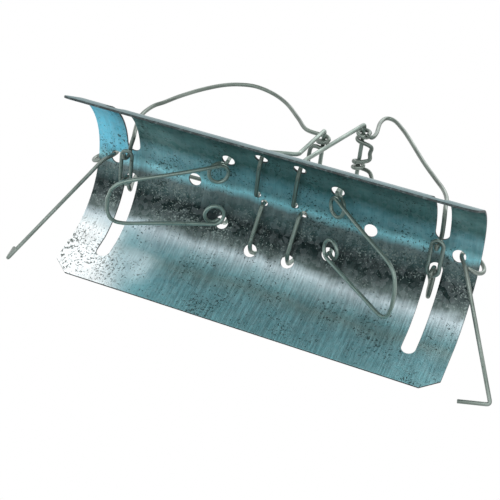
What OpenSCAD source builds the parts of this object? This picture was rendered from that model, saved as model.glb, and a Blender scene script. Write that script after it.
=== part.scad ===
// Half-barrel mole trap: a sheet-metal tunnel with two wire springs, two latches and two triggers.
// X runs along the barrel, Z is up, and the origin is on the ground under the middle of the whole trap.

/* [Barrel] */
// Length of the sheet-metal tunnel
barrel_length = 150; // [140:1:160]
// Thickness of the galvanised sheet
sheet = 0.8; // [0.7:0.1:1.0]
// Mid-sheet radius of the rounded crown
crown_radius = 31; // [30:0.5:32]
// Angle that the rounded crown covers on each side, in degrees
crown_angle = 60; // [59:1:61]
// Length of the straight skirt below the rounded crown
skirt = 20.4; // [20:0.2:22]
// Slope of the skirt below level, in degrees
skirt_slope = 67; // [64:1:68]
// Length of the cut-off corners along the lower edge, on the side with cut corners
corner_length = 6.2; // [5:0.2:7]
// Height of the cut-off corners along the end
corner_height = 5.0; // [4:0.2:6]
// Radius of the corners on the side with rounded corners
corner_radius = 4.8; // [4:0.2:6]

/* [Holes] */
// Diameter of the punched round holes
hole_d = 5.0; // [4.8:0.1:5.4]
// Distance of the latch holes from the middle
latch_hole_x = 67.3; // [67:0.1:68]
// Distance of the firing holes from the middle
firing_hole_x = 34.6; // [33:0.2:36]
// Distance of the trigger holes from the middle
trigger_hole_x = 21.2; // [21:0.1:22]
// Angle of the trigger holes down from the crown, in degrees
trigger_hole_angle = 24.5; // [24:0.5:25]
// Distance of the stitch holes from the middle
stitch_hole_x = 7.4; // [7.2:0.1:8]
// Angle of the stitch holes down from the crown, in degrees
stitch_hole_angle = 37.5; // [37:0.5:38]
// Diameter of the small crown holes that the stitches come up through
crown_hole_d = 2.6; // [2.4:0.1:2.8]
// Distance of the noose slots from the middle
slot_x = 60.2; // [60:0.1:60.6]
// Width of the noose slots
slot_w = 5.2; // [5:0.1:5.4]
// Angle from the crown to the upper end of a slot, in degrees
slot_start_angle = 13.5; // [13:0.5:14]
// Distance from the slots' lower end to the barrel's lower edge, along the sheet
slot_margin = 14.5; // [13:0.5:16]

/* [Wire] */
// Diameter of the frame wire
frame_wire = 1.6; // [1.5:0.05:1.7]
// Diameter of the spring wire
spring_wire = 1.6; // [1.5:0.05:1.7]
// Diameter of the latch wire
latch_wire = 1.5; // [1.4:0.05:1.6]
// Diameter of the trigger wire
trigger_wire = 1.4; // [1.3:0.05:1.5]
// Diameter of the noose link wire
link_wire = 1.5; // [1.4:0.05:1.6]

/* [Springs] */
// Mid-wire radius of the coils round the frames' crossbars
coil_radius = 1.95; // [1.92:0.01:2.1]
// Distance between neighbouring turns of a coil
coil_pitch = 2.4; // [2.2:0.05:2.6]
// Height of the left crossbar above the crown
left_bar_height = 27.7; // [27:0.1:28]
// Height of the right crossbar above the crown
right_bar_height = 42.5; // [42:0.1:43]

/* [Latches] */
// Mid-wire radius of the ring that holds a latch in its hole
eye_radius = 4.8; // [4.7:0.05:5]
// Turn of a latch ring away from square to the barrel, in degrees
eye_turn = 27; // [25:1:29]

/* [Triggers] */
// Mid-wire radius of the loops beside the trigger holes
trigger_loop_radius = 3.5; // [3.3:0.1:3.6]
// Length of a trigger's tongue from its holes to its tip
tongue_length = 44; // [42:0.5:44]
// Slope of a tongue below level, in degrees
tongue_slope = 39; // [37:1:40]

/* [Hidden] */
$fn = 48;
tube_sides = 8;
bend_steps = 4;
turn_steps = 18;
spline_steps = 5;
left = -1;
right = 1;
frame_half_width = 20.2;
bend_reach = 1.5;
left_bar_x = 3.8;
right_bar_x = 14.6;
left_crown_holes = [-9.4, -6.4];
right_crown_holes = [5.2, 8.2];
eye_centre_x = 72.4;
eye_centre_y = 1.1;
eye_arc = 328;
bail_height = 6.8;
loop_turn = 400;
loop_steps = 22;
loop_pitch = 2.15;
loop_reach = 3.8;
loop_inset = 4.4;
tongue_drop = 3.0;
stitch_y = 1.3;
rock_play = 1.0;
skirt_top_y = crown_radius * sin(crown_angle);
skirt_drop = skirt * sin(skirt_slope);
skirt_y = skirt_top_y + skirt * cos(skirt_slope);
crown_z = crown_radius * (1 - cos(crown_angle)) + skirt_drop;
lap = 0.4;
middle = [3.9, -3.52, 0];
slot_overlap = 2;

// Vectors and paths

function unit(v) = v / norm(v);
function reversed(path) = [for (i = [len(path) - 1 : -1 : 0]) path[i]];

// Smooth curve through every point of a list
function spline(points) = concat([for (i = [0 : len(points) - 2], k = [0 : spline_steps - 1])
    let (a = points[max(i - 1, 0)], b = points[i], c = points[i + 1],
         d = points[min(i + 2, len(points) - 1)], t = k / spline_steps)
    0.5 * (2 * b + (c - a) * t + (2 * a - 5 * b + 4 * c - d) * t ^ 2 + (3 * b - a - 3 * c + d) * t ^ 3)],
    [points[len(points) - 1]]);

// Straight runs with their corners rounded over the given reach
function rounded(points, reach) = concat([points[0]], [for (i = [1 : len(points) - 2], k = [0 : bend_steps])
    let (b = points[i], a = b + reach * unit(points[i - 1] - b), c = b + reach * unit(points[i + 1] - b),
         t = k / bend_steps)
    a * (1 - t) ^ 2 + 2 * b * t * (1 - t) + c * t ^ 2], [points[len(points) - 1]]);

// Turns round an axis along Y, from one angle to another, while moving along Y
function turns(centre, radius, from, to, travel) =
    let (n = ceil(abs(to - from) / 360 * turn_steps))
    [for (i = [0 : n]) let (a = from + (to - from) * i / n)
        centre + [radius * cos(a), travel * i / n, radius * sin(a)]];

function tangent(path, i, closed) = let (n = len(path))
    unit(closed ? path[(i + 1) % n] - path[(i + n - 1) % n] : path[min(i + 1, n - 1)] - path[max(i - 1, 0)]);
function square_to(v, t) = unit(v - (v * t) * t);

// One unbroken round wire along a path
module wire(path, d, closed = false, first_side = [0.31, 0.17, 0.93]) {
    n = len(path);
    sides = [for (i = 0, s = square_to(first_side, tangent(path, 0, closed)); i < n;
        i = i + 1, s = i < n ? square_to(s, tangent(path, i, closed)) : s) s];
    points = [for (i = [0 : n - 1]) let (u = sides[i], v = cross(tangent(path, i, closed), u))
        for (j = [0 : tube_sides - 1]) let (a = 360 * j / tube_sides)
            path[i] + d / 2 * (u * cos(a) + v * sin(a))];
    rings = closed ? n : n - 1;
    walls = [for (i = [0 : rings - 1], j = [0 : tube_sides - 1])
        let (k = (j + 1) % tube_sides, m = (i + 1) % n)
        [i * tube_sides + j, i * tube_sides + k, m * tube_sides + k, m * tube_sides + j]];
    caps = closed ? [] : [[for (j = [tube_sides - 1 : -1 : 0]) j],
        [for (j = [0 : tube_sides - 1]) (n - 1) * tube_sides + j]];
    translate(middle) polyhedron(points, concat([for (w = walls) reversed(w)], [for (c = caps) reversed(c)]));
}

// Least gap between two stretches of a wire that lie more than four diameters apart along it
function least_gap(path, d) = min([for (i = [0 : 2 : len(path) - 1], j = [i + 8 : 2 : len(path) - 1])
    if (j - i > 8 && path_length(path, i, j) > 4 * d) norm(path[i] - path[j]) - d]);
function path_length(path, i, j) = j - i > 60 ? 1000
    : norm_sum([for (k = [i : j - 1]) norm(path[k + 1] - path[k])], 0);
function norm_sum(v, k) = k < len(v) ? v[k] + norm_sum(v, k + 1) : 0;

// Barrel

function on_crown(x, angle, lift) = [x, (crown_radius + lift) * sin(angle),
    crown_z - crown_radius + (crown_radius + lift) * cos(angle)];

module barrel_section(half) {
    r = crown_radius + half * sheet / 2;
    translate([0, crown_z - crown_radius]) intersection() {
        circle(r, $fn = 96);
        polygon([[0, 0], [-2 * r * sin(crown_angle), 2 * r * cos(crown_angle)], [-2 * r, 3 * r],
            [2 * r, 3 * r], [2 * r * sin(crown_angle), 2 * r * cos(crown_angle)]]);
    }
}

module skirt_side(side) {
    length = skirt + 2 + lap;
    translate([side * skirt_top_y, skirt_drop]) rotate(-side * skirt_slope)
        translate([side > 0 ? -lap : lap - length, -sheet / 2]) square([length, sheet]);
}

module punch(x, angle, d, reach = 6) {
    translate(on_crown(x, angle, 0)) rotate([-angle, 0, 0]) cylinder(d = d, h = reach, center = true);
}

// A slot is a wedge through the crown, a box through the skirt and a round hole at either end
module slot(x, side) {
    arc = crown_angle - slot_start_angle + slot_overlap;
    flat = skirt - slot_margin;
    reach = crown_radius + 4;
    mid = slot_start_angle + arc / 2;
    translate([x - slot_w / 2, 0, crown_z - crown_radius]) rotate([-side * mid, 0, 0])
        rotate([90, 0, 90]) linear_extrude(slot_w)
            polygon([[0, 0], [-reach * tan(arc / 2), reach], [reach * tan(arc / 2), reach]]);
    punch(x, side * slot_start_angle, slot_w);
    translate([x, side * skirt_top_y, skirt_drop]) rotate([-side * skirt_slope, 0, 0]) {
        translate([-slot_w / 2, side > 0 ? -lap : -flat, -3]) cube([slot_w, flat + lap, 6]);
        translate([0, side * flat, 0]) cylinder(d = slot_w, h = 6, center = true);
    }
}

// Corners are cut square to the skirt: straight on one side of the barrel, rounded on the other
module corner(x_side, y_side) {
    function placed_2d(x, y) = [x_side * (barrel_length / 2 + x), y_side * (skirt + y)];
    translate([0, y_side * skirt_top_y, skirt_drop]) rotate([-y_side * skirt_slope, 0, 0])
        linear_extrude(8, center = true) {
            if (y_side == right) polygon([placed_2d(-1.5 * corner_length, 0.5 * corner_height),
                placed_2d(0.5 * corner_length, 0.5 * corner_height),
                placed_2d(0.5 * corner_length, -1.5 * corner_height)]);
            else difference() {
                translate(placed_2d(0, 0)) square(2 * corner_radius, center = true);
                translate(placed_2d(-corner_radius, -corner_radius)) circle(corner_radius);
            }
        }
}

module barrel() {
    color("lightsteelblue") translate(middle) difference() {
        translate([-barrel_length / 2, 0, 0]) rotate([90, 0, 90]) linear_extrude(barrel_length) {
            difference() {
                barrel_section(1);
                translate([0, crown_z - crown_radius]) circle(crown_radius - sheet / 2, $fn = 96);
            }
            skirt_side(right);
            skirt_side(left);
        }
        translate([-barrel_length, -100, -10]) cube([2 * barrel_length, 200, 10]);
        for (s = [left, right]) {
            punch(s * latch_hole_x, 0, hole_d);
            punch(s * firing_hole_x, 0, hole_d);
            for (t = [left, right]) {
                punch(s * trigger_hole_x, t * trigger_hole_angle, hole_d);
                punch(s * stitch_hole_x, t * stitch_hole_angle, hole_d);
                slot(s * slot_x, t);
                corner(s, t);
            }
        }
        for (i = [0, 1], play = [0, rock_play]) {
            a = (i == 0 ? -1 : 1) * asin(stitch_y / crown_radius);
            punch(left_crown_holes[i], a, crown_hole_d);
            punch(right_crown_holes[i] + play, a, crown_hole_d);
        }
    }
}

// Frames: one wire each, with two legs, a crossbar and a stitch under the crown at either side

function stitch(crown_x, hole_x, side) = let (a = side * stitch_hole_angle)
    [[crown_x, side * stitch_y, crown_z + 2.6], [crown_x, side * stitch_y, crown_z - 2.0],
     on_crown(hole_x, a - side * 3.5, -3.0), on_crown(hole_x, a, 0), on_crown(hole_x, a + side * 0.5, 2.6)];

function frame_side(crown_x, hole_x, foot, bar_x, bar_height, side) = concat(stitch(crown_x, hole_x, side),
    [[foot[0], side * (frame_half_width + 0.6), crown_z + foot[1]],
     [bar_x, side * frame_half_width, crown_z + bar_height]]);

module frame(crown_holes, hole_x, foot, bar_x, bar_height) {
    near = frame_side(crown_holes[0], hole_x, foot, bar_x, bar_height, left);
    far = frame_side(crown_holes[1], hole_x, foot, bar_x, bar_height, right);
    wire(rounded(concat(near, reversed(far)), bend_reach), frame_wire);
}

module frame_left() {
    color("gray") frame(left_crown_holes, -stitch_hole_x, [3.7, 0.5], left_bar_x, left_bar_height);
}

module frame_right() {
    color("gray") frame(right_crown_holes, stitch_hole_x, [7.6, -1.5], right_bar_x, right_bar_height);
}

// Springs: each is one wire that coils round its crossbar twice, arches out to both slots of its end,
// and turns back under the bridge between the slots in two hooks

// The hook under the bridge and the stretch that passes through a slot
function hook(x, side) = [[x, side * 6.6, crown_z - 9.0], [x, side * 5.0, crown_z - 8.8],
    [x, side * 4.1, crown_z - 6.6], [x, side * 5.0, crown_z - 4.3]];

function placed(points, side) = [for (p = points) [p[0], side * p[1], crown_z + p[2]]];

// The stretch that passes through the left slot keeps one distance from the crossbar it turns about
left_pass = [[-60.2, 7.6, -3.9], [-59.9, 10.8, -2.6], [-61.5, 11.6, 1.5], [-63.8, 12.2, 8], [-65.4, 12.7, 15]];
left_high_arch = [[-65, 13.2, 23], [-62.9, 13.5, 28.5], [-60.2, 13.8, 37.5], [-55.9, 14.1, 48],
    [-50.6, 14.4, 56.7], [-45.2, 14.6, 61.4], [-38.5, 14.9, 63], [-29.5, 15.3, 59.5], [-20.6, 15.8, 52],
    [-11.3, 16.3, 40.3], [-4.4, 16.9, 31.2]];
left_low_arch = [[-64.9, 13.2, 20], [-61.5, 13.6, 24], [-54, 14, 26.4], [-40, 14.6, 28.2], [-22, 15.6, 29.4],
    [-5.0, 16.8, 30.2]];

function left_arm(side, arch) = concat(hook(-60.2, side), placed(left_pass, side), placed(arch, side));

// The stretch that passes through the right slot keeps one distance from the stitch holes it rocks about
right_pass = [[60.6, 8.0, -4.0], [60.6, 13, -5.0], [60.2, 16.6, -4.6], [59.2, 17, -0.5], [57.6, 16.5, 7]];
right_high_arch = [[54.2, 15.8, 15], [48.7, 15.0, 24], [41, 15.0, 35], [31.3, 15.3, 49.9],
    [25.9, 15.6, 57.4], [20.9, 16.0, 62.6], [17.6, 16.4, 62], [17.2, 16.8, 55], [19.3, 17.2, 44],
    [19.3, 17.4, 38.6], [17.6, 17.4, 39.6], [17.2, 17.35, 42.2], [16.35, 17.25, 43.75]];
right_low_arch = [[53.4, 15.6, 14.5], [46.5, 14.4, 19], [38, 12.8, 21.4], [30, 10.0, 24.5], [25.2, 5.8, 31], [22.2, 1.6, 39],
    [19.2, -0.6, 43.8]];

function right_arm(side, arch) = concat(hook(60.4, side), placed(right_pass, side), placed(arch, side));

// Two coils on a crossbar with the straight run between them
function coil_pair(bar_x, bar_height, first_y, second_y, from, way, turn_count) = let (
    near = turns([bar_x, first_y, crown_z + bar_height], coil_radius, from, from + way * 360 * turn_count,
        coil_pitch * turn_count),
    far = turns([bar_x, second_y, crown_z + bar_height], coil_radius, from, from + way * 360 * turn_count,
        -coil_pitch * turn_count))
    [near, reversed(far)];

module spring(arm_near, arm_far, bar_x, bar_height, first_y, second_y, from, way, run_x) {
    turn_count = 1.5;
    pair = coil_pair(bar_x, bar_height, first_y, second_y, from, way, turn_count);
    run_z = crown_z + bar_height - 0.6;
    near_y = first_y + coil_pitch * turn_count;
    far_y = second_y - coil_pitch * turn_count;
    run = [[run_x, near_y + 1.6, run_z], [run_x, (near_y + far_y) / 2, run_z], [run_x, far_y - 1.6, run_z]];
    path = concat(spline(concat(arm_near, [pair[0][0]])), [for (i = [1 : len(pair[0]) - 2]) pair[0][i]],
        spline(concat([pair[0][len(pair[0]) - 1]], run, [pair[1][0]])),
        [for (i = [1 : len(pair[1]) - 2]) pair[1][i]],
        spline(concat([pair[1][len(pair[1]) - 1]], reversed(arm_far))));
    echo(least_gap = least_gap(path, spring_wire));
    wire(path, spring_wire);
}

module spring_left() {
    color("slategray") spring(left_arm(left, left_high_arch), left_arm(right, left_low_arch), left_bar_x, left_bar_height,
        -17.2, 17.2, 100, -1, -0.5);
}

module spring_right() {
    color("slategray") spring(right_arm(left, right_high_arch), right_arm(right, right_low_arch), right_bar_x,
        right_bar_height, -17.2, -1.2, 80, 1, 18.6);
}

// Noose links: closed loops that join the two hooks of a spring under the bridge

module noose_link(x) {
    half_length = 4.7;
    half_width = 2.1;
    path = concat([for (i = [0 : 8]) [x + half_width * cos(180 * i / 8), half_length + half_width * sin(180 * i / 8), 0]],
        [for (i = [0 : 8]) [x - half_width * cos(180 * i / 8), -half_length - half_width * sin(180 * i / 8), 0]]);
    translate([0, 0, crown_z - 6.6]) wire(path, link_wire, closed = true, first_side = [0, 0, 1]);
}

module noose_link_left() {
    color("silver") noose_link(-60.2);
}

module noose_link_right() {
    color("silver") noose_link(60.4);
}

// Latches: a ring through the latch hole and round the barrel's end, then a long arm with a turned tip

module latch(side, corner, tip) {
    centre = [side * eye_centre_x, eye_centre_y, crown_z];
    across = [-side * cos(eye_turn), -sin(eye_turn), 0];
    axis = [-side * sin(eye_turn), cos(eye_turn), 0];
    aim = corner - centre;
    root = atan2(aim[2], aim * across) + 90 + 4;
    ring = [for (i = [0 : 20]) let (a = root + eye_arc * (1 - i / 20))
        centre + eye_radius * (cos(a) * across + [0, 0, sin(a)])];
    lead = ring[20] + 3.2 * unit(unit(corner - ring[20]) + unit(ring[20] - ring[19]));
    arm = rounded([lead, corner, corner + tip], bend_reach);
    wire(concat(ring, arm), latch_wire);
}

module latch_left() {
    color("silver") latch(left, [-96.1, 39.6, crown_z - 30], [-4.0, 2.0, 11.2]);
}

module latch_right() {
    color("silver") latch(right, [92.7, 37, crown_z - 27], [-10.9, 1.2, -2.5]);
}

// Triggers: a flat tongue in the tunnel, with a loop at either side whose end passes up through a hole
// into the bail over the crown

function trigger_half(side, tip_half_gap, tip_shift) = let (
    along = [cos(tongue_slope), 0, -sin(tongue_slope)], above = [sin(tongue_slope), 0, cos(tongue_slope)],
    hole = on_crown(trigger_hole_x, side * trigger_hole_angle, 0), centre = [hole[0], 0, hole[2]],
    half_gap = abs(hole[1]) + trigger_loop_radius - loop_inset,
    bail = [[-0.9, 0.6, 0], [-0.9, 7.5, 0], [-0.7, 11.6, -0.7], [-0.3, 14.3, -3.0], [0, 14.2, -4.4], [0, 13.4, -5.6],
        [0, 12.9, -6.8], [0, 12.4, -7.8]],
    loop = [for (i = [0 : loop_steps]) let (a = loop_turn * (1 - i / loop_steps))
        hole + (loop_reach - trigger_loop_radius * sin(a)) * along + (a / 360 * loop_pitch - tongue_drop) * above
            + [0, side * (trigger_loop_radius * cos(a) - loop_inset), 0]],
    leg = [for (p = [[0.36, 1, 0.5], [0.62, 1, 0.7], [0.86, 1, 0.9], [0.96, 0.78, 1], [1, 0.28, 1]])
        centre + p[0] * tongue_length * along + (p[2] - tongue_drop) * above
            + [0, side * p[1] * (half_gap + (tip_half_gap - half_gap) * p[0]) + tip_shift * p[0], 0]])
    concat(spline(concat([for (p = bail) centre + [p[0], side * p[1], bail_height + p[2]]], [loop[0]])),
        [for (i = [1 : loop_steps - 1]) loop[i]], spline(concat([loop[loop_steps]], leg)));

module trigger(x_side, tip_half_gap, tip_shift) {
    near = trigger_half(left, tip_half_gap, tip_shift);
    far = trigger_half(right, tip_half_gap, tip_shift);
    path = concat(near, reversed(far));
    echo(least_gap = least_gap(path, trigger_wire));
    wire([for (p = path) [x_side * p[0], p[1], p[2]]], trigger_wire);
}

module trigger_left() {
    color("darkgray") trigger(left, 7.8, 2.4);
}

module trigger_right() {
    color("darkgray") trigger(right, 10, 5.6);
}

barrel();
frame_left();
frame_right();
spring_left();
spring_right();
noose_link_left();
noose_link_right();
latch_left();
latch_right();
trigger_left();
trigger_right();
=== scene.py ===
# Half-barrel mole trap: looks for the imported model, built on the model's own frame
import math

import bmesh
import bpy
from mathutils import Matrix, Vector, noise
from mathutils.geometry import delaunay_2d_cdt


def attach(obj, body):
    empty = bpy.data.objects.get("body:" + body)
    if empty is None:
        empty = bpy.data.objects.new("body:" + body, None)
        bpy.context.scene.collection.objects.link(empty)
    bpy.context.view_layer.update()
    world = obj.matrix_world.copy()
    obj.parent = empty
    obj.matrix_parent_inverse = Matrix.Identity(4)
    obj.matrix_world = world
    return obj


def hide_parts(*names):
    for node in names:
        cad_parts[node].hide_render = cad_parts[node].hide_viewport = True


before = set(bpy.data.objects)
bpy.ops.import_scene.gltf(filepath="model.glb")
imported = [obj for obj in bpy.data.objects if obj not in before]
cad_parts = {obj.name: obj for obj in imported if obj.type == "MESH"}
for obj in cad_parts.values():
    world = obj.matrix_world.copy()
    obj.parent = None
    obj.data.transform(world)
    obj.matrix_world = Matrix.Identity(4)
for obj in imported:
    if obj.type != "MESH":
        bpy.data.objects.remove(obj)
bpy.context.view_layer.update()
scene = bpy.context.scene
scene.view_settings.view_transform = "Standard"
mm = 0.001
left, right = -1, 1
middle = Vector((3.9, -3.52, 0))    # the barrel's middle, in millimetres from the origin
print("frame loaded with", len(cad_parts), "nodes")

# Camera, at the photograph's angle: it looks up at the trap from below
camera = {
    "place": (0.1381, -0.2177, -0.3651),
    "imageRight": (0.914, -0.107, 0.393),
    "imageDown": (0.279, 0.867, -0.413),
    "lens": 93.6,
    "nearest": 0.01,
}


def makeCamera(values):
    lens = bpy.data.cameras.new("camera")
    lens.lens = values["lens"]
    lens.clip_start = values["nearest"]
    across = Vector(values["imageRight"]).normalized()
    up = -Vector(values["imageDown"])
    up = (up - up.dot(across) * across).normalized()
    body = bpy.data.objects.new("camera", lens)
    scene.collection.objects.link(body)
    turn = Matrix((across, up, across.cross(up))).transposed().to_4x4()
    body.matrix_world = Matrix.Translation(values["place"]) @ turn
    scene.camera = body


makeCamera(camera)


# Node helpers

def setInputs(tree, node, inputs):
    for key, value in inputs.items():
        if isinstance(value, bpy.types.NodeSocket):
            tree.links.new(value, node.inputs[key])
        else:
            node.inputs[key].default_value = value


def addNode(tree, kind, inputs=None, **settings):
    node = tree.nodes.new(kind)
    for key, value in settings.items():
        setattr(node, key, value)
    setInputs(tree, node, inputs or {})
    return node


def maths(tree, operation, *values):
    return addNode(tree, "ShaderNodeMath", dict(enumerate(values)), operation=operation).outputs[0]


def ramped(tree, value, span, result=(0.0, 1.0), shape="SMOOTHSTEP"):
    # Goes from the first result to the second as the value goes over its span
    inputs = {"Value": value, "From Min": span[0], "From Max": span[1],
              "To Min": result[0], "To Max": result[1]}
    return addNode(tree, "ShaderNodeMapRange", inputs, interpolation_type=shape).outputs[0]


def mixIn(tree, base, other, factor, blend="MIX"):
    inputs = {0: factor, 6: base, 7: other}
    return addNode(tree, "ShaderNodeMix", inputs, data_type="RGBA", blend_type=blend).outputs[2]


def fromSrgb(values):
    return tuple((v / 255 / 12.92) if v / 255 <= 0.04045 else ((v / 255 + 0.055) / 1.055) ** 2.4
                 for v in values) + (1.0,)


def addRamp(tree, value, stops, low=0.0, high=1.0):
    ramp = addNode(tree, "ShaderNodeValToRGB", {"Fac": value})
    elements = ramp.color_ramp.elements
    places = sorted(stops)
    while len(elements) < len(places):
        elements.new(1.0)
    for element, place in zip(elements, places):
        element.position = (place - low) / (high - low)
        element.color = fromSrgb(stops[place])
    return ramp.outputs["Color"]


def newMaterial(name):
    material = bpy.data.materials.new(name)
    material.use_nodes = True
    return material, material.node_tree, material.node_tree.nodes["Principled BSDF"]


# World and lamps: a white studio, with one long soft box over the trap and two under it
studio = {
    "backdrop": 1.0,        # what the camera and the metal see
    "fill": 1.0,            # even light from all round
    "lamps": {
        "topBox": {"place": (0.05, -0.35, 0.75), "size": (0.7, 0.5), "watts": 1.8},
        "lowBox": {"place": (0.15, -0.45, -0.55), "size": (0.9, 0.7), "watts": 8.5},
        "lowLeftBox": {"place": (-0.55, -0.05, -0.28), "size": (0.25, 0.4), "watts": 1.3},
    },
    "aim": (0.0, 0.0, 0.02),
}


def makeWorld(values):
    world = bpy.data.worlds.new("studioWorld")
    scene.world = world
    world.use_nodes = True
    tree = world.node_tree
    tree.nodes.clear()
    rays = addNode(tree, "ShaderNodeLightPath").outputs
    direct = maths(tree, "MAXIMUM", rays["Is Camera Ray"], rays["Is Glossy Ray"])
    seen = maths(tree, "MAXIMUM", direct, rays["Is Transmission Ray"])
    strength = ramped(tree, seen, (0.0, 1.0), (values["fill"], values["backdrop"]), "LINEAR")
    background = addNode(tree, "ShaderNodeBackground", {"Color": (1, 1, 1, 1), "Strength": strength})
    addNode(tree, "ShaderNodeOutputWorld", {"Surface": background.outputs[0]})


def makeLamps(values):
    for name, lamp in values["lamps"].items():
        light = bpy.data.lights.new(name, "AREA")
        light.shape = "RECTANGLE"
        light.size, light.size_y = lamp["size"]
        light.energy = lamp["watts"]
        body = bpy.data.objects.new(name, light)
        scene.collection.objects.link(body)
        body.location = lamp["place"]
        aim = Vector(values["aim"]) - Vector(lamp["place"])
        body.rotation_euler = aim.to_track_quat("-Z", "Y").to_euler()


makeWorld(studio)
makeLamps(studio)
print("camera, world and lamps ready")


# Shared effects, each a node group that every metal here uses with its own values

def startGroup(name, inputs, outputs):
    group = bpy.data.node_groups.new(name, "ShaderNodeTree")
    for label, kind, value in inputs:
        socket = group.interface.new_socket(name=label, in_out="INPUT", socket_type=kind)
        if value is not None:
            socket.default_value = value
    for label in outputs:
        group.interface.new_socket(name=label, in_out="OUTPUT", socket_type="NodeSocketFloat")
    return group, group.nodes.new("NodeGroupInput").outputs, group.nodes.new("NodeGroupOutput")


def useGroup(tree, group, **inputs):
    return addNode(tree, "ShaderNodeGroup", inputs, node_tree=group).outputs


fleckShape = {
    "fine": {"Detail": 2.0, "Roughness": 0.55, "Distortion": 0.6},
    "patchScale": 0.06,             # against the scale of the flecks themselves
    "patchDetail": 3.0,
    "patchSpan": (0.3, 0.7),        # from a thin patch to a thick one
    "patchShift": (0.16, -0.05),    # what a patch adds to the level
    "level": 0.655,                 # the noise is a fleck above this
    "amountShift": -0.14,           # what an amount of 1 adds to the level
    "edge": 0.045,                  # from a fleck's rim to its full depth
}

streakShape = {
    "lines": {"Scale": 1.0, "Detail": 4.0, "Roughness": 0.65},
    "cloud": {"Scale": 60.0, "Detail": 4.0, "Roughness": 0.6, "Distortion": 0.4},
}


def fleckGroup(values):
    # Small dark or pale flecks, thick in some places and thin in others
    group, given, out = startGroup("zincFlecks", [
        ("Place", "NodeSocketVector", None), ("Scale", "NodeSocketFloat", 900.0),
        ("Amount", "NodeSocketFloat", 0.5)], ["Mask"])
    place, scale = given["Place"], given["Scale"]
    fine = addNode(group, "ShaderNodeTexNoise", {"Vector": place, "Scale": scale, **values["fine"]})
    patches = addNode(group, "ShaderNodeTexNoise", {
        "Vector": place, "Scale": maths(group, "MULTIPLY", scale, values["patchScale"]),
        "Detail": values["patchDetail"]})
    shift = ramped(group, patches.outputs["Fac"], values["patchSpan"], values["patchShift"], "LINEAR")
    level = maths(group, "ADD", values["level"], shift)
    rim = maths(group, "MULTIPLY_ADD", given["Amount"], values["amountShift"], level)
    full = maths(group, "ADD", rim, values["edge"])
    mask = ramped(group, fine.outputs["Fac"], (rim, full), shape="LINEAR")
    setInputs(group, out, {"Mask": mask})
    return group


def streakGroup(values):
    # Fine lines left by rolling the sheet or drawing the wire: long one way, thin across it
    group, given, out = startGroup("drawnStreaks", [
        ("Place", "NodeSocketVector", None), ("Stretch", "NodeSocketVector", (1.0, 1.0, 1.0))],
        ["Streaks", "Cloud"])
    pulled = addNode(group, "ShaderNodeVectorMath", {0: given["Place"], 1: given["Stretch"]},
                     operation="MULTIPLY")
    lines = addNode(group, "ShaderNodeTexNoise", {"Vector": pulled.outputs[0], **values["lines"]})
    cloud = addNode(group, "ShaderNodeTexNoise", {"Vector": given["Place"], **values["cloud"]})
    setInputs(group, out, {"Streaks": lines.outputs["Fac"], "Cloud": cloud.outputs["Fac"]})
    return group


flecks = fleckGroup(fleckShape)
streaks = streakGroup(streakShape)

# Galvanised sheet, with painted reflections and painted shade in long bands that follow the bends of the
# section: bright, blue-teal and dark bands on the inside, and on the outside lighter at the crown and
# darker down the skirts.
# The bands' angles are round the crown's axis, from -Y over the top to +Y, in degrees.
sheetFinishAndPaintedLight = {
    "axisHeight": 3.278 * mm,
    # Inside: painted reflections, bright and blue-teal, and painted shade in the dark band from about 12
    # to 29 degrees
    "insidePaintedLightBands": {-96: (78, 106, 106), -74: (76, 104, 104), -62: (90, 114, 112), -50: (82, 116, 112),
                    -34: (104, 144, 143), -23: (70, 106, 104), -13: (110, 156, 164), -5: (98, 144, 150),
                    0: (148, 210, 220), 5: (98, 114, 114), 12: (64, 84, 84), 20: (12, 24, 24),
                    29: (24, 36, 35), 37: (78, 90, 88), 44: (174, 188, 193), 51: (138, 166, 171),
                    59: (120, 162, 167), 66: (126, 156, 156), 78: (122, 168, 175), 97: (126, 176, 182)},
    # Outside: painted shade, lighter at the crown and darker down the skirts, darkest at the -Y edge
    "outsidePaintedShadeBands": {-96: (86, 108, 110), -84: (92, 114, 116), -66: (140, 152, 154), -30: (163, 173, 174),
                     0: (172, 182, 183), 30: (160, 171, 172), 60: (150, 162, 164), 97: (138, 150, 152)},
    "bandRange": (-98.0, 98.0),
    "bandWander": 0.22,                         # radians, as the cloud goes from 0 to 1
    "stretch": (1500.0, 90.0, 90.0),
    "streakSpan": (0.32, 0.68), "streakTone": (0.88, 1.12),
    "cloudSpan": (0.3, 0.7), "cloudTone": (0.88, 1.1),
    "crystalScale": 620.0, "crystalTone": (0.0, 0.07), "crystalColour": (0.72, 0.80, 0.82, 1.0),
    "darkFleck": {"colour": (48, 60, 58), "scale": 1250.0, "inside": 0.6, "outside": 0.45, "depth": 0.8},
    "metallic": 0.75,
    "grazingTint": (0.36, 0.46, 0.48, 1.0),     # zinc darkens where it is seen edge on
    "roughSpan": (0.3, 0.7), "roughness": (0.30, 0.46),
    "grain": 0.3, "bump": 0.25, "bumpDepth": 0.2 * mm,
}

# Pale flecks that stand out in the painted dark band of shade on the inside. Angles in radians.
paleFleck = {"colour": (122, 134, 130), "scale": 1500.0, "amount": 0.75, "depth": 0.765,
             "bandStart": (0.05, 0.16), "bandEnd": (0.85, 0.6)}

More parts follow.
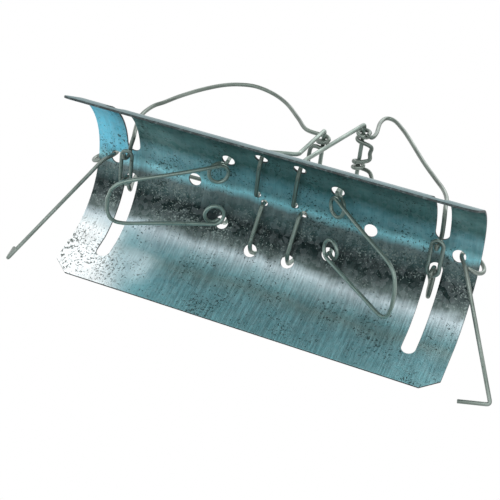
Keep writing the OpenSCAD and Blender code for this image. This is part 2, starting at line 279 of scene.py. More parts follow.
# The left end of the inside, past the first slots, with a painted blue reflection, painted highlights and
# dark flecks: places in metres, angles in radians
leftEnd = {
    "flareReflectionColour": (104, 182, 204),     # a painted blue reflection on the -Y side
    "flareAlong": (-0.056, -0.066), "flareRound": (0.06, -0.16),
    "highlightColour": (246, 249, 249),     # a painted highlight, nearly white, on the +Y side
    "highlightAlong": (-0.066, -0.084), "highlightRound": (0.72, 1.02),
    "highlightSlant": -0.016,               # how far its border shifts along the barrel in one radian
    "glowColour": (205, 220, 222),      # a painted highlight beside it
    "glowPlace": (-0.046, 0.030, 0.012), "glowReach": (0.012, 0.002),
    "glowCloud": (0.35, 0.6), "glowDepth": (0.4, 0.9),
    "fleck": {"colour": (62, 72, 66), "scale": 1000.0, "amount": 0.85, "depth": 0.85},
}


def sheetPlace(tree, axisHeight):
    # A point's place from the barrel's middle, and its angle round the crown's axis
    fromOrigin = addNode(tree, "ShaderNodeTexCoord").outputs["Object"]
    shifted = addNode(tree, "ShaderNodeVectorMath", {0: fromOrigin, 1: middle * mm}, operation="SUBTRACT")
    axes = addNode(tree, "ShaderNodeSeparateXYZ", {"Vector": shifted.outputs[0]}).outputs
    height = maths(tree, "SUBTRACT", axes["Z"], axisHeight)
    return shifted.outputs[0], axes["X"], maths(tree, "ARCTAN2", axes["Y"], height)


def paintedBandTone(tree, bands, angle, cloud, look):
    # Painted reflections and painted shade in bands round the section; the bands wander a little along the
    # barrel
    wander = maths(tree, "SUBTRACT", cloud, 0.5)
    bent = maths(tree, "MULTIPLY_ADD", wander, look["bandWander"], angle)
    span = tuple(math.radians(v) for v in look["bandRange"])
    return addRamp(tree, ramped(tree, bent, span, shape="LINEAR"), bands, *look["bandRange"])


# Where the painted highlight lies at the left end
def highlightMask(tree, along, angle, values):
    border = maths(tree, "MULTIPLY_ADD", angle, values["highlightSlant"], along)
    return maths(tree, "MULTIPLY", ramped(tree, border, values["highlightAlong"]),
                 ramped(tree, angle, values["highlightRound"]))


def addLeftEndPaintedLight(tree, colour, place, along, angle, cloud, values):
    # A painted blue reflection on the -Y side of the left end
    flare = maths(tree, "MULTIPLY", ramped(tree, along, values["flareAlong"]),
                  ramped(tree, angle, values["flareRound"]))
    colour = mixIn(tree, colour, fromSrgb(values["flareReflectionColour"]), flare)
    # A painted highlight, nearly white, on the +Y side
    colour = mixIn(tree, colour, fromSrgb(values["highlightColour"]), highlightMask(tree, along, angle, values))
    # A painted highlight beside it, a soft bright glow
    away = addNode(tree, "ShaderNodeVectorMath", {0: place, 1: values["glowPlace"]}, operation="DISTANCE")
    glow = maths(tree, "MULTIPLY", ramped(tree, away.outputs["Value"], values["glowReach"]),
                 ramped(tree, cloud, values["glowCloud"], values["glowDepth"]))
    return mixIn(tree, colour, fromSrgb(values["glowColour"]), glow)


def addFlecks(tree, colour, place, fleck, amount, where=None):
    mask = useGroup(tree, flecks, Place=place, Scale=fleck["scale"], Amount=amount)["Mask"]
    if where is not None:
        mask = maths(tree, "MULTIPLY", mask, where)
    return mixIn(tree, colour, fromSrgb(fleck["colour"]), maths(tree, "MULTIPLY", mask, fleck["depth"]))


def sheetMaterial(name, bands, inside, look):
    material, tree, shader = newMaterial(name)
    place, along, angle = sheetPlace(tree, look["axisHeight"])
    lines = useGroup(tree, streaks, Place=place, Stretch=look["stretch"])
    streak, cloud = lines["Streaks"], lines["Cloud"]
    # Painted reflections and painted shade, in bands round the section
    colour = paintedBandTone(tree, bands, angle, cloud, look)
    if inside:
        # Painted light at the left end: a blue reflection and two highlights
        colour = addLeftEndPaintedLight(tree, colour, place, along, angle, cloud, leftEnd)
    tone = maths(tree, "MULTIPLY", ramped(tree, streak, look["streakSpan"], look["streakTone"]),
                 ramped(tree, cloud, look["cloudSpan"], look["cloudTone"]))
    grey = addNode(tree, "ShaderNodeCombineColor", {0: tone, 1: tone, 2: tone})
    colour = mixIn(tree, colour, grey.outputs[0], 1.0, "MULTIPLY")
    crystals = addNode(tree, "ShaderNodeTexVoronoi", {"Vector": place, "Scale": look["crystalScale"],
                                                      "Randomness": 1.0}).outputs
    crystal = addNode(tree, "ShaderNodeSeparateColor", {0: crystals["Color"]}).outputs[0]
    spangle = ramped(tree, crystal, (0.0, 1.0), look["crystalTone"])
    colour = mixIn(tree, colour, look["crystalColour"], spangle)
    if inside:
        # Pale flecks only where the painted dark band of shade lies
        paintedDarkBand = maths(tree, "MULTIPLY", ramped(tree, angle, paleFleck["bandStart"]),
                         ramped(tree, angle, paleFleck["bandEnd"]))
        colour = addFlecks(tree, colour, place, paleFleck, paleFleck["amount"], paintedDarkBand)
    dark = look["darkFleck"]
    colour = addFlecks(tree, colour, place, dark, dark["inside" if inside else "outside"])
    if inside:
        # Dark flecks, thick where the painted highlight lies
        colour = addFlecks(tree, colour, place, leftEnd["fleck"], leftEnd["fleck"]["amount"],
                           highlightMask(tree, along, angle, leftEnd))
    grain = maths(tree, "MULTIPLY_ADD", crystals["Distance"], look["grain"], streak)
    bump = addNode(tree, "ShaderNodeBump", {"Height": grain, "Strength": look["bump"],
                                            "Distance": look["bumpDepth"]})
    setInputs(tree, shader, {
        "Base Color": colour, "Metallic": look["metallic"], "Specular Tint": look["grazingTint"],
        "Roughness": ramped(tree, streak, look["roughSpan"], look["roughness"]),
        "Normal": bump.outputs[0]})
    return material


# The sheared edge: darker steel with a thin wipe of zinc
cutEdge = {
    "stretch": (700.0, 700.0, 700.0),
    "tones": {0.35: (18, 26, 27), 0.52: (30, 42, 43), 0.7: (70, 84, 85)},
    "metallic": 0.3, "roughness": 0.6, "bump": 0.3, "bumpDepth": 0.1 * mm,
}


def cutEdgeMaterial(look):
    material, tree, shader = newMaterial("shearedEdge")
    place = addNode(tree, "ShaderNodeTexCoord").outputs["Object"]
    streak = useGroup(tree, streaks, Place=place, Stretch=look["stretch"])["Streaks"]
    bump = addNode(tree, "ShaderNodeBump", {"Height": streak, "Strength": look["bump"],
                                            "Distance": look["bumpDepth"]})
    setInputs(tree, shader, {
        "Base Color": addRamp(tree, streak, look["tones"]), "Metallic": look["metallic"],
        "Roughness": look["roughness"], "Normal": bump.outputs[0]})
    return material


# Zinc-plated wire: dull olive grey with fine drawing lines along it and small dark flecks
wireFinishes = {
    "frameWire": {"slot": "frame_wire", "dull": (84, 98, 92), "bright": (144, 158, 150),
                  "roughness": (0.26, 0.42)},
    "springWire": {"slot": "spring_wire", "dull": (70, 80, 75), "bright": (130, 140, 133),
                   "roughness": (0.24, 0.40)},
    "linkWire": {"slot": "link_wire", "dull": (80, 96, 92), "bright": (136, 152, 146),
                 "roughness": (0.28, 0.44)},
    "latchWire": {"slot": "latch_wire", "dull": (80, 90, 84), "bright": (142, 152, 146),
                  "roughness": (0.22, 0.38)},
    # The trigger wire is lighter than the other wires: painted light on the wire inside the tunnel.
    "triggerWire": {"slot": "trigger_wire", "dull": (104, 122, 115), "bright": (166, 182, 174),
                    "roughness": (0.26, 0.42)},
}
wireLook = {
    "stretch": (3200.0, 3200.0, 110.0),         # across the wire twice, then along it
    "cloudShare": 0.45, "dullAt": 0.52, "brightAt": 0.92,
    "fleck": {"colour": (48, 54, 50), "scale": 2200.0, "amount": 0.4, "depth": 0.6},
    "metallic": 0.85, "roughSpan": (0.3, 0.7), "bump": 0.2, "bumpDepth": 0.08 * mm,
}


def wireMaterial(name, finish, look):
    material, tree, shader = newMaterial(name)
    place = addNode(tree, "ShaderNodeTexCoord").outputs["Object"]
    inWire = addNode(tree, "ShaderNodeAttribute", attribute_name="wirePlace").outputs["Vector"]
    lines = useGroup(tree, streaks, Place=inWire, Stretch=look["stretch"])
    streak = lines["Streaks"]
    tone = maths(tree, "MULTIPLY_ADD", lines["Cloud"], look["cloudShare"], streak)
    colour = addRamp(tree, tone, {look["dullAt"]: finish["dull"], look["brightAt"]: finish["bright"]})
    colour = addFlecks(tree, colour, place, look["fleck"], look["fleck"]["amount"])
    low, high = finish["roughness"]
    bump = addNode(tree, "ShaderNodeBump", {"Height": streak, "Strength": look["bump"],
                                            "Distance": look["bumpDepth"]})
    setInputs(tree, shader, {
        "Base Color": colour, "Metallic": look["metallic"],
        "Roughness": ramped(tree, streak, look["roughSpan"], (high, low), "LINEAR"),
        "Normal": bump.outputs[0]})
    return material


sheetInside = sheetMaterial("galvanisedInside", sheetFinishAndPaintedLight["insidePaintedLightBands"], True, sheetFinishAndPaintedLight)
sheetOutside = sheetMaterial("galvanisedOutside", sheetFinishAndPaintedLight["outsidePaintedShadeBands"], False, sheetFinishAndPaintedLight)
shearedEdge = cutEdgeMaterial(cutEdge)
wireMaterials = {name: wireMaterial(name, finish, wireLook) for name, finish in wireFinishes.items()}
print("materials ready")

# Barrel: a flat blank with its holes, bent over the section, then given its thickness.
# Sizes in millimetres. A place on the blank is x along the barrel and s from the crown down the sheet.
barrel = {
    "length": 150.0, "sheet": 0.8,
    "crownRadius": 31.0, "crownAngle": 60.0, "skirt": 20.4, "skirtSlope": 67.0,
    "bendSoftness": 1.6,        # half the length over which the crown's curve runs out into the skirt
    "cornerLength": 6.2, "cornerHeight": 5.0, "cornerRadius": (6.0, 8.5),
    "holeDiameter": 5.0, "latchHole": 67.3, "firingHole": 34.6,
    "triggerHole": (21.2, 24.5), "stitchHole": (7.4, 37.5),     # along, and degrees round the crown
    "crownHoleDiameter": 2.6, "crownHoleSide": 1.3,
    "crownHoles": (-9.4, 5.2), "crownHolesFar": (-6.4, 9.2),    # along, on the -Y side and on the +Y side
    "slotPlace": 60.2, "slotWidth": 5.2, "slotStart": 13.5, "slotMargin": 14.5,
    # The sheet's slight unevenness, which fades out towards its ends
    "waveHeight": 0.04, "waveLength": (26.0, 17.0), "wavePhase": 0.4, "waveFade": 8.0,
    "edgeRound": 0.1, "sharpAngle": 50.0,
}
barrelMesh = {
    "gridAlong": 2.5, "gridAcross": 1.3, "edgeClearance": 0.9, "edgeStep": 1.5, "tolerance": 1e-5,
    "sectionStep": 0.1, "holeSides": 40, "smallHoleSides": 28, "slotSteps": 24, "slotEndSteps": 12,
    "cornerSteps": 8, "edgeSegments": 2,
}
halfLength = barrel["length"] / 2
halfBlank = barrel["crownRadius"] * math.radians(barrel["crownAngle"]) + barrel["skirt"]
crownHeight = (barrel["crownRadius"] * (1 - math.cos(math.radians(barrel["crownAngle"])))
               + barrel["skirt"] * math.sin(math.radians(barrel["skirtSlope"])))


def onArc(angle):
    return barrel["crownRadius"] * math.radians(angle)


def sectionTable(step):
    # For each step along the sheet from the crown, how far out and down it has come
    end = onArc(barrel["crownAngle"])
    table = [(0.0, 0.0)]
    out = down = 0.0
    for i in range(int(math.ceil((halfBlank + 1) / step))):
        s = (i + 0.5) * step
        mix = min(max((s - end) / (2 * barrel["bendSoftness"]) + 0.5, 0.0), 1.0)
        curve = min(math.degrees(s / barrel["crownRadius"]), barrel["crownAngle"])
        slope = math.radians(curve + (barrel["skirtSlope"] - curve) * mix * mix * (3 - 2 * mix))
        out += step * math.cos(slope)
        down += step * math.sin(slope)
        table.append((out, down))
    return table


section = sectionTable(barrelMesh["sectionStep"])


def onSheet(x, s):
    place = min(abs(s) / barrelMesh["sectionStep"], len(section) - 1.001)    # just inside the table
    i = int(place)
    t = place - i
    out = section[i][0] + (section[i + 1][0] - section[i][0]) * t
    down = section[i][1] + (section[i + 1][1] - section[i][1]) * t
    waveAlong, waveAcross = barrel["waveLength"]
    wave = barrel["waveHeight"] * noise.noise(Vector((x / waveAlong, s / waveAcross, barrel["wavePhase"])))
    fade = min(1.0, (halfLength - abs(x)) / barrel["waveFade"])
    height = crownHeight - down + wave * max(fade, 0.0)
    return (middle + Vector((x, math.copysign(out, s), height))) * mm


def circleLoop(x, s, diameter, count):
    spots = [2 * math.pi * i / count for i in range(count)]
    return [(x + diameter / 2 * math.cos(a), s + diameter / 2 * math.sin(a)) for a in spots]


def slotLoop(x, side):
    radius = barrel["slotWidth"] / 2
    start = onArc(barrel["slotStart"])
    end = halfBlank - barrel["slotMargin"]
    count = barrelMesh["slotSteps"]
    steps = [start + (end - start) * i / count for i in range(count + 1)]
    ends = [math.pi * i / barrelMesh["slotEndSteps"] for i in range(1, barrelMesh["slotEndSteps"])]
    loop = [(x + radius, s) for s in steps]
    loop += [(x + radius * math.cos(a), end + radius * math.sin(a)) for a in ends]
    loop += [(x - radius, s) for s in reversed(steps)]
    loop += [(x - radius * math.cos(a), start - radius * math.sin(a)) for a in ends]
    return [(px, side * ps) for px, ps in loop]


def blankOutline():
    # Two corners of the +Y edge are cut off, and those of the -Y edge are rounded
    edge = halfBlank - 0.5 * barrel["sheet"] * math.cos(math.radians(barrel["skirtSlope"]))
    cutX, cutS = barrel["cornerLength"], barrel["cornerHeight"]
    roundX, roundS = barrel["cornerRadius"]
    count = barrelMesh["cornerSteps"]
    rounding = [math.radians(90 * i / count) for i in range(count + 1)]
    corners = [
        [(halfLength, edge - cutS), (halfLength - cutX, edge)],
        [(cutX - halfLength, edge), (-halfLength, edge - cutS)],
        [(-halfLength + roundX * (1 - math.cos(a)), -edge + roundS * (1 - math.sin(a))) for a in rounding],
        [(halfLength - roundX * (1 - math.sin(a)), -edge + roundS * (1 - math.cos(a))) for a in rounding],
    ]
    points = [p for corner in corners for p in corner]
    outline = []
    for i, (x0, s0) in enumerate(points):
        x1, s1 = points[(i + 1) % len(points)]
        count = max(1, round(math.hypot(x1 - x0, s1 - s0) / barrelMesh["edgeStep"]))
        outline += [(x0 + (x1 - x0) * k / count, s0 + (s1 - s0) * k / count) for k in range(count)]
    return outline


def sheetHoles():
    triggerX, triggerAngle = barrel["triggerHole"]
    stitchX, stitchAngle = barrel["stitchHole"]
    holes = []

    def punch(x, s):
        holes.append(circleLoop(x, s, barrel["holeDiameter"], barrelMesh["holeSides"]))

    for side in (left, right):
        punch(side * barrel["latchHole"], 0)
        punch(side * barrel["firingHole"], 0)
        for flank in (left, right):
            punch(side * triggerX, flank * onArc(triggerAngle))
            punch(side * stitchX, flank * onArc(stitchAngle))
            holes.append(slotLoop(side * barrel["slotPlace"], flank))
    for flank, places in ((left, barrel["crownHoles"]), (right, barrel["crownHolesFar"])):
        holes += [circleLoop(x, flank * barrel["crownHoleSide"], barrel["crownHoleDiameter"],
                             barrelMesh["smallHoleSides"]) for x in places]
    return holes


def farFromLoops(x, s, loops, clearance):
    return all((x - px) ** 2 + (s - ps) ** 2 > clearance ** 2 for loop in loops for px, ps in loop)


def insideLoop(x, s, loop):
    inside = False
    for i, (x0, s0) in enumerate(loop):
        x1, s1 = loop[i - 1]
        if (s0 > s) != (s1 > s) and x < (x1 - x0) * (s - s0) / (s1 - s0) + x0:
            inside = not inside
    return inside


def inHole(face, flatPoints, holes):
    x = sum(flatPoints[i].x for i in face) / len(face)
    s = sum(flatPoints[i].y for i in face) / len(face)
    return any(insideLoop(x, s, hole) for hole in holes)


def gridPoints(outline, holes):
    # Points of an even grid on the blank that keep clear of its edges and holes
    columns = int(barrel["length"] / barrelMesh["gridAlong"])
    rows = int(2 * halfBlank / barrelMesh["gridAcross"])
    points = []
    for i in range(1, columns):
        x = -halfLength + barrel["length"] * i / columns
        for j in range(1, rows):
            s = -halfBlank + 2 * halfBlank * j / rows
            if not insideLoop(x, s, outline) or any(insideLoop(x, s, hole) for hole in holes):
                continue
            if farFromLoops(x, s, [outline] + holes, barrelMesh["edgeClearance"]):
                points.append((x, s))
    return points


def makeBarrel():
    outline = blankOutline()
    holes = sheetHoles()
    points, edges = [], []
    for loop in [outline] + holes:
        first = len(points)
        points += loop
        edges += [(first + i, first + (i + 1) % len(loop)) for i in range(len(loop))]
    points += gridPoints(outline, holes)
    flat = delaunay_2d_cdt([Vector(p) for p in points], edges, [], 2, barrelMesh["tolerance"])
    mesh = bpy.data.meshes.new("barrelSheet")
    kept = [face for face in flat[2] if not inHole(face, flat[0], holes)]
    mesh.from_pydata([onSheet(v.x, v.y) for v in flat[0]], [], kept)
    sheet = bpy.data.objects.new("barrelSheet", mesh)
    scene.collection.objects.link(sheet)
    for material in (sheetOutside, sheetInside, shearedEdge):
        mesh.materials.append(material)
    build = bmesh.new()
    build.from_mesh(mesh)
    bmesh.ops.recalc_face_normals(build, faces=build.faces)
    if sum(f.normal.z for f in build.faces) < 0:
        bmesh.ops.reverse_faces(build, faces=build.faces)
    for face in build.faces:
        face.smooth = True
    build.to_mesh(mesh)
    build.free()
    thick = sheet.modifiers.new("thickness", "SOLIDIFY")
    thick.thickness = barrel["sheet"] * mm
    thick.offset = 0
    thick.use_even_offset = True
    thick.material_offset = 1
    thick.material_offset_rim = 2
    soft = sheet.modifiers.new("edgeRound", "BEVEL")
    soft.width = barrel["edgeRound"] * mm
    soft.segments = barrelMesh["edgeSegments"]
    soft.limit_method = "ANGLE"
    soft.angle_limit = math.radians(barrel["sharpAngle"])
    soft.harden_normals = True
    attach(sheet, "tunnel")
    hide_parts("barrel")
    print("barrel sheet:", len(mesh.polygons), "faces before its thickness")


makeBarrel()

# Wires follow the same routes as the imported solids, with finer steps and a round section.
# Sizes in millimetres, angles in degrees.
wireMesh = {
    "sides": 16, "curveSteps": 8, "bendSteps": 8, "turnSteps": 36, "sharpAngle": 50.0,
    "cutEnd": [(0.0, 0.8), (0.07, 0.93), (0.16, 1.0)],      # how far in, and the share of the full radius
    "firstAcross": Vector((0.31, 0.17, 0.93)),              # any way that no wire starts along
    "upAcross": Vector((0, 0, 1)),
}


def unit(v):
    return v.normalized()


def spline(points, steps=wireMesh["curveSteps"]):
    # A smooth curve through every point
    route = []
    for i in range(len(points) - 1):
        a, b, c, d = points[max(i - 1, 0)], points[i], points[i + 1], points[min(i + 2, len(points) - 1)]
        for k in range(steps):
            t = k / steps
            route.append(0.5 * (2 * b + (c - a) * t + (2 * a - 5 * b + 4 * c - d) * t ** 2
                                + (3 * b - a - 3 * c + d) * t ** 3))
    return route + [points[-1]]


def rounded(points, reach, steps=wireMesh["bendSteps"]):
    # Straight runs between the points, with each corner rounded over this reach
    route = [points[0]]
    for before, b, after in zip(points, points[1:], points[2:]):
        a = b + reach * unit(before - b)
        c = b + reach * unit(after - b)
        route += [a * (1 - k / steps) ** 2 + 2 * b * (k / steps) * (1 - k / steps) + c * (k / steps) ** 2
                  for k in range(steps + 1)]
    return route + [points[-1]]


def turns(centre, radius, start, stop, travel):
    count = math.ceil(abs(stop - start) / 360 * wireMesh["turnSteps"])
    route = []
    for i in range(count + 1):
        a = math.radians(start + (stop - start) * i / count)
        route.append(centre + Vector((radius * math.cos(a), travel * i / count, radius * math.sin(a))))
    return route


def routeTangents(route, closed):
    count = len(route)
    tangents = []
    for i in range(count):
        after = route[(i + 1) % count] if closed else route[min(i + 1, count - 1)]
        before = route[i - 1] if closed else route[max(i - 1, 0)]
        tangents.append(unit(after - before))
    return tangents


def ringsAt(i, count, closed):
    # One ring at each point, and three at a cut end, whose rim is a little broken
    if closed or 0 < i < count - 1:
        return [(0.0, 1.0)]
    if i == 0:
        return wireMesh["cutEnd"]
    return [(-inset, size) for inset, size in reversed(wireMesh["cutEnd"])]


def makeWire(name, route, diameter, material, closed=False):
    radius = diameter / 2
    sides = wireMesh["sides"]
    across = wireMesh["upAcross" if closed else "firstAcross"]
    verts, places = [], []
    travelled = 0.0
    rings = 0
    for i, (centre, tangent) in enumerate(zip(route, routeTangents(route, closed))):
        across = unit(across - across.dot(tangent) * tangent)
        other = tangent.cross(across)
        if i:
            travelled += (centre - route[i - 1]).length
        for inset, size in ringsAt(i, len(route), closed):
            for j in range(sides):
                a = 2 * math.pi * j / sides
                offset = across * math.cos(a) + other * math.sin(a)
                verts.append((middle + centre + tangent * inset + offset * radius * size) * mm)
                places.append((radius * math.cos(a) * mm, radius * math.sin(a) * mm, travelled * mm))
            rings += 1
    faces = []
    for i in range(rings if closed else rings - 1):
        m = (i + 1) % rings
        for j in range(sides):
            k = (j + 1) % sides
            faces.append((i * sides + j, m * sides + j, m * sides + k, i * sides + k))
    if not closed:
        faces.append(tuple(range(sides)))
        faces.append(tuple((rings - 1) * sides + j for j in reversed(range(sides))))
    mesh = bpy.data.meshes.new(name)
    mesh.from_pydata(verts, [], faces)
    mesh.polygons.foreach_set("use_smooth", [True] * len(mesh.polygons))
    mesh.set_sharp_from_angle(angle=math.radians(wireMesh["sharpAngle"]))
    spots = mesh.attributes.new("wirePlace", "FLOAT_VECTOR", "POINT")
    spots.data.foreach_set("vector", [value for place in places for value in place])
    mesh.materials.append(wireMaterials[material])
    wire = bpy.data.objects.new(name, mesh)
    scene.collection.objects.link(wire)
    print(name, "is", round(travelled), "mm of wire")
    return wire


def fit(wire, body, node):
    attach(wire, body)
    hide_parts(node)


def onCrown(x, angle, lift=0.0):
    a = math.radians(angle)
    out = barrel["crownRadius"] + lift
    return Vector((x, out * math.sin(a), crownHeight - barrel["crownRadius"] + out * math.cos(a)))


# Frames: one wire each, stitched through the crown at both sides
frames = {
    "wire": 1.6, "bend": 1.5, "halfWidth": 20.2,
    "stitchSide": 1.3, "stitchTop": 2.6, "stitchUnder": -2.0,       # heights from the crown
    "holeUnder": (-3.5, -3.0), "holeOver": (0.5, 2.6),              # turn and lift from the stitch hole
    "footOut": 0.6,
    "left": {"crownX": (-9.4, -6.4), "holeX": -7.4, "foot": (3.7, 0.5), "bar": (3.8, 27.7)},
    "right": {"crownX": (5.2, 8.2), "holeX": 7.4, "foot": (7.6, -1.5), "bar": (14.6, 42.5)},
}


def frameSide(values, leg, side):
    holeX = values["holeX"]
    holeAngle = side * barrel["stitchHole"][1]
    crownPlace = Vector((values["crownX"][leg], side * frames["stitchSide"], crownHeight))
    underTurn, underLift = frames["holeUnder"]
    overTurn, overLift = frames["holeOver"]
    footX, footHeight = values["foot"]
    barX, barHeight = values["bar"]
    return [crownPlace + Vector((0, 0, frames["stitchTop"])),
            crownPlace + Vector((0, 0, frames["stitchUnder"])),
            onCrown(holeX, holeAngle + side * underTurn, underLift), onCrown(holeX, holeAngle),
            onCrown(holeX, holeAngle + side * overTurn, overLift),
            Vector((footX, side * (frames["halfWidth"] + frames["footOut"]), crownHeight + footHeight)),
            Vector((barX, side * frames["halfWidth"], crownHeight + barHeight))]


def frameRoute(values):
    return rounded(frameSide(values, 0, left) + frameSide(values, 1, right)[::-1], frames["bend"])


for label, end, body, node in (("frameLeft", "left", "tunnel", "frame_left"),
                               ("frameRight", "right", "right_spring", "frame_right")):
    fit(makeWire(label, frameRoute(frames[end]), frames["wire"], "frameWire"), body, node)

# Springs: one wire each, hooked under the bridge, out through the slots and round the crossbar.
# Heights are from the crown, and y is outwards.
springs = {
    "wire": 1.6, "coilRadius": 1.95, "pitch": 2.4, "turns": 1.5,
    "leftHook": -60.2, "rightHook": 60.4,
    "hook": [(6.6, -9.0), (5.0, -8.8), (4.1, -6.6), (5.0, -4.3)],
    "leftPass": [(-60.2, 7.6, -3.9), (-59.9, 10.8, -2.6), (-61.5, 11.6, 1.5), (-63.8, 12.2, 8),
                 (-65.4, 12.7, 15)],
    "leftHighArch": [(-65, 13.2, 23), (-62.9, 13.5, 28.5), (-60.2, 13.8, 37.5), (-55.9, 14.1, 48),
                     (-50.6, 14.4, 56.7), (-45.2, 14.6, 61.4), (-38.5, 14.9, 63), (-29.5, 15.3, 59.5),
                     (-20.6, 15.8, 52), (-11.3, 16.3, 40.3), (-4.4, 16.9, 31.2)],
    "leftLowArch": [(-64.9, 13.2, 20), (-61.5, 13.6, 24), (-54, 14, 26.4), (-40, 14.6, 28.2),
                    (-22, 15.6, 29.4), (-5.0, 16.8, 30.2)],
    "rightPass": [(60.6, 8.0, -4.0), (60.6, 13, -5.0), (60.2, 16.6, -4.6), (59.2, 17, -0.5),
                  (57.6, 16.5, 7)],
    "rightHighArch": [(54.2, 15.8, 15), (48.7, 15.0, 24), (41, 15.0, 35), (31.3, 15.3, 49.9),
                      (25.9, 15.6, 57.4), (20.9, 16.0, 62.6), (17.6, 16.4, 62), (17.2, 16.8, 55),
                      (19.3, 17.2, 44), (19.3, 17.4, 38.6), (17.6, 17.4, 39.6), (17.2, 17.35, 42.2),
                      (16.35, 17.25, 43.75)],
    "rightLowArch": [(53.4, 15.6, 14.5), (46.5, 14.4, 19), (38, 12.8, 21.4), (30, 10.0, 24.5),
                     (25.2, 5.8, 31), (22.2, 1.6, 39), (19.2, -0.6, 43.8)],
    "runDrop": 0.6, "runInset": 1.6,        # the straight run between the two coils
    "left": {"bar": (3.8, 27.7), "ends": (-17.2, 17.2), "start": 100, "way": -1, "runX": -0.5},
    "right": {"bar": (14.6, 42.5), "ends": (-17.2, -1.2), "start": 80, "way": 1, "runX": 18.6},
}


def springArm(end, arch, side):
    hook = [(springs[end + "Hook"], y, z) for y, z in springs["hook"]]
    points = hook + springs[end + "Pass"] + springs[end + arch]
    return [Vector((x, side * y, crownHeight + z)) for x, y, z in points]


def springRoute(end):
    values = springs[end]
    barX, barHeight = values["bar"]
    travel = springs["pitch"] * springs["turns"]
    stop = values["start"] + values["way"] * 360 * springs["turns"]
    nearY, farY = values["ends"]
    height = crownHeight + barHeight
    near = turns(Vector((barX, nearY, height)), springs["coilRadius"], values["start"], stop, travel)
    far = turns(Vector((barX, farY, height)), springs["coilRadius"], values["start"], stop, -travel)[::-1]
    nearEnd = nearY + travel
    farEnd = farY - travel
    run = [Vector((values["runX"], y, height - springs["runDrop"]))
           for y in (nearEnd + springs["runInset"], (nearEnd + farEnd) / 2, farEnd - springs["runInset"])]
    nearArm = springArm(end, "HighArch", left)
    farArm = springArm(end, "LowArch", right)
    return (spline(nearArm + [near[0]]) + near[1:-1] + spline([near[-1]] + run + [far[0]]) + far[1:-1]
            + spline([far[-1]] + farArm[::-1]))


for label, end, body, node in (("springLeft", "left", "left_spring", "spring_left"),
                               ("springRight", "right", "right_spring", "spring_right")):
    fit(makeWire(label, springRoute(end), springs["wire"], "springWire"), body, node)

# Noose links
links = {"wire": 1.5, "halfLength": 4.7, "halfWidth": 2.1, "drop": 6.6, "bendSteps": 16}


def linkRoute(x):
    centre = Vector((x, 0, crownHeight - links["drop"]))
    steps = links["bendSteps"]
    arc = [math.pi * i / steps for i in range(steps + 1)]
    radius = links["halfWidth"]
    bend = [Vector((radius * math.cos(a), links["halfLength"] + radius * math.sin(a), 0)) for a in arc]
    return [centre + p for p in bend] + [centre - p for p in bend]


for label, hook, body, node in (("linkLeft", "leftHook", "left_spring", "noose_link_left"),
                                ("linkRight", "rightHook", "right_spring", "noose_link_right")):
    link = makeWire(label, linkRoute(springs[hook]), links["wire"], "linkWire", closed=True)
    fit(link, body, node)

# Latches: an open ring through the sheet, then one long arm with a bent tip
latches = {
    "wire": 1.5, "bend": 1.5, "centre": (72.4, 1.1),
    "eyeRadius": 4.8, "eyeTurn": 27.0, "eyeArc": 328.0, "eyeSteps": 40,
    "eyeRoot": 94.0,                        # from the arm's way to the ring's last point
    "leadReach": 3.2, "leadLength": 6.0,    # how the ring runs out into the arm
    "left": {"corner": (-96.1, 39.6, -30), "tip": (-4.0, 2.0, 11.2)},
    "right": {"corner": (92.7, 37, -27), "tip": (-10.9, 1.2, -2.5)},
}


def latchRoute(side, values):
    turn = math.radians(latches["eyeTurn"])
    centre = Vector((side * latches["centre"][0], latches["centre"][1], crownHeight))
    across = Vector((-side * math.cos(turn), -math.sin(turn), 0))
    corner = Vector(values["corner"]) + Vector((0, 0, crownHeight))
    aim = corner - centre
    root = math.atan2(aim.z, aim.dot(across)) + math.radians(latches["eyeRoot"])
    ring = []
    for i in range(latches["eyeSteps"] + 1):
        a = root + math.radians(latches["eyeArc"]) * (1 - i / latches["eyeSteps"])
        ring.append(centre + latches["eyeRadius"] * (math.cos(a) * across + Vector((0, 0, math.sin(a)))))
    lead = ring[-1] + latches["leadReach"] * unit(unit(corner - ring[-1]) + unit(ring[-1] - ring[-2]))
    armStart = lead + latches["leadLength"] * unit(corner - lead)
    smooth = spline([ring[-2], ring[-1], lead, armStart])[wireMesh["curveSteps"]:]
    arm = rounded([smooth[-1], corner, corner + Vector(values["tip"])], latches["bend"])
    return ring[:-1] + smooth[:-1] + arm


for label, side, end, body, node in (("latchLeft", left, "left", "left_latch", "latch_left"),
                                     ("latchRight", right, "right", "right_latch", "latch_right")):
    latch = makeWire(label, latchRoute(side, latches[end]), latches["wire"], "latchWire")
    fit(latch, body, node)

# Triggers: a bail over the crown, a flat loop under each hole, and a tongue that slopes into the tunnel
triggers = {
    "wire": 1.4, "loopRadius": 3.5, "tongue": 44.0, "slope": 39.0, "bailHeight": 6.8, "loopTurn": 400,
    "loopSteps": 44, "loopPitch": 2.15, "loopReach": 3.8, "loopInset": 4.4, "drop": 3.0,
    # The bail's points: how far it leans along the barrel, how far out, and its height from its top
    "bail": [(-0.9, 0.6, 0), (-0.9, 7.5, 0), (-0.7, 11.6, -0.7), (-0.3, 14.3, -3.0), (0, 14.2, -4.4),
             (0, 13.4, -5.6), (0, 12.9, -6.8), (0, 12.4, -7.8)],
    # Each point of a leg: its share of the tongue's length, its share of the width there, and its height
    "leg": [(0.36, 1, 0.5), (0.62, 1, 0.7), (0.86, 1, 0.9), (0.96, 0.78, 1), (1, 0.28, 1)],
    "left": {"tipHalfGap": 7.8, "tipShift": 2.4}, "right": {"tipHalfGap": 10.0, "tipShift": 5.6},
}


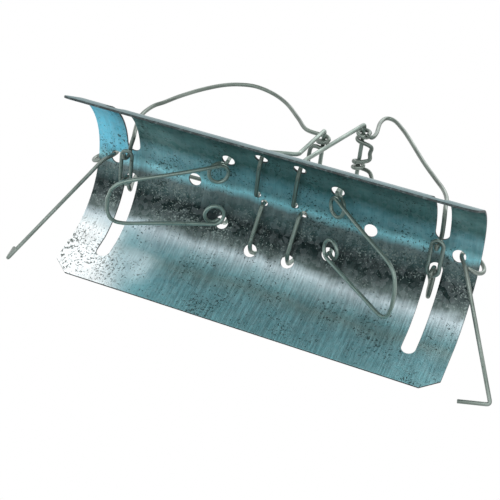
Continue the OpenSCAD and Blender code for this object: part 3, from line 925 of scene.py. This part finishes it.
def triggerHalf(side, values):
    slope = math.radians(triggers["slope"])
    along = Vector((math.cos(slope), 0, -math.sin(slope)))
    above = Vector((math.sin(slope), 0, math.cos(slope)))
    sideways = Vector((0, side, 0))
    hole = onCrown(barrel["triggerHole"][0], side * barrel["triggerHole"][1])
    centre = Vector((hole.x, 0, hole.z))
    radius = triggers["loopRadius"]
    halfGap = abs(hole.y) + radius - triggers["loopInset"]
    bail = [centre + Vector((x, side * y, triggers["bailHeight"] + z)) for x, y, z in triggers["bail"]]
    loop = []
    for i in range(triggers["loopSteps"] + 1):
        turned = triggers["loopTurn"] * (1 - i / triggers["loopSteps"])
        a = math.radians(turned)
        rise = turned / 360 * triggers["loopPitch"] - triggers["drop"]
        loop.append(hole + (triggers["loopReach"] - radius * math.sin(a)) * along + rise * above
                    + (radius * math.cos(a) - triggers["loopInset"]) * sideways)
    leg = []
    for share, spread, height in triggers["leg"]:
        y = spread * (halfGap + (values["tipHalfGap"] - halfGap) * share)
        leg.append(centre + share * triggers["tongue"] * along + (height - triggers["drop"]) * above
                   + y * sideways + Vector((0, values["tipShift"] * share, 0)))
    return spline(bail + [loop[0]]) + loop[1:-1] + spline([loop[-1]] + leg)


def triggerRoute(side, values):
    route = triggerHalf(left, values) + triggerHalf(right, values)[::-1]
    return [Vector((side * p.x, p.y, p.z)) for p in route]


for label, side, end, body, node in (("triggerLeft", left, "left", "left_trigger", "trigger_left"),
                                     ("triggerRight", right, "right", "right_trigger", "trigger_right")):
    trigger = makeWire(label, triggerRoute(side, triggers[end]), triggers["wire"], "triggerWire")
    fit(trigger, body, node)

# Floor: plain and pale from above, and clear from below, where the photograph looks through it
floor = {"height": -0.6 * mm, "halfSize": 4.0, "colour": (0.86, 0.87, 0.88, 1.0),
         "mottle": {"Scale": 7.0, "Detail": 3.0}, "roughness": (0.5, 0.6)}


def makeFloor(values):
    half = values["halfSize"]
    corners = ((-half, -half), (half, -half), (half, half), (-half, half))
    mesh = bpy.data.meshes.new("floor")
    mesh.from_pydata([(x, y, values["height"]) for x, y in corners], [], [(0, 1, 2, 3)])
    ground = bpy.data.objects.new("floor", mesh)
    scene.collection.objects.link(ground)
    material, tree, shader = newMaterial("paleFloor")
    mottle = addNode(tree, "ShaderNodeTexNoise", values["mottle"])
    rough = ramped(tree, mottle.outputs["Fac"], (0.0, 1.0), values["roughness"], "LINEAR")
    setInputs(tree, shader, {"Base Color": values["colour"], "Roughness": rough})
    clear = addNode(tree, "ShaderNodeBsdfTransparent")
    under = addNode(tree, "ShaderNodeNewGeometry").outputs["Backfacing"]
    shadow = addNode(tree, "ShaderNodeLightPath").outputs["Is Shadow Ray"]
    through = maths(tree, "MAXIMUM", under, shadow)
    mix = addNode(tree, "ShaderNodeMixShader", {0: through, 1: shader.outputs[0], 2: clear.outputs[0]})
    setInputs(tree, tree.nodes["Material Output"], {"Surface": mix.outputs[0]})
    mesh.materials.append(material)


makeFloor(floor)

print("all pieces in place")
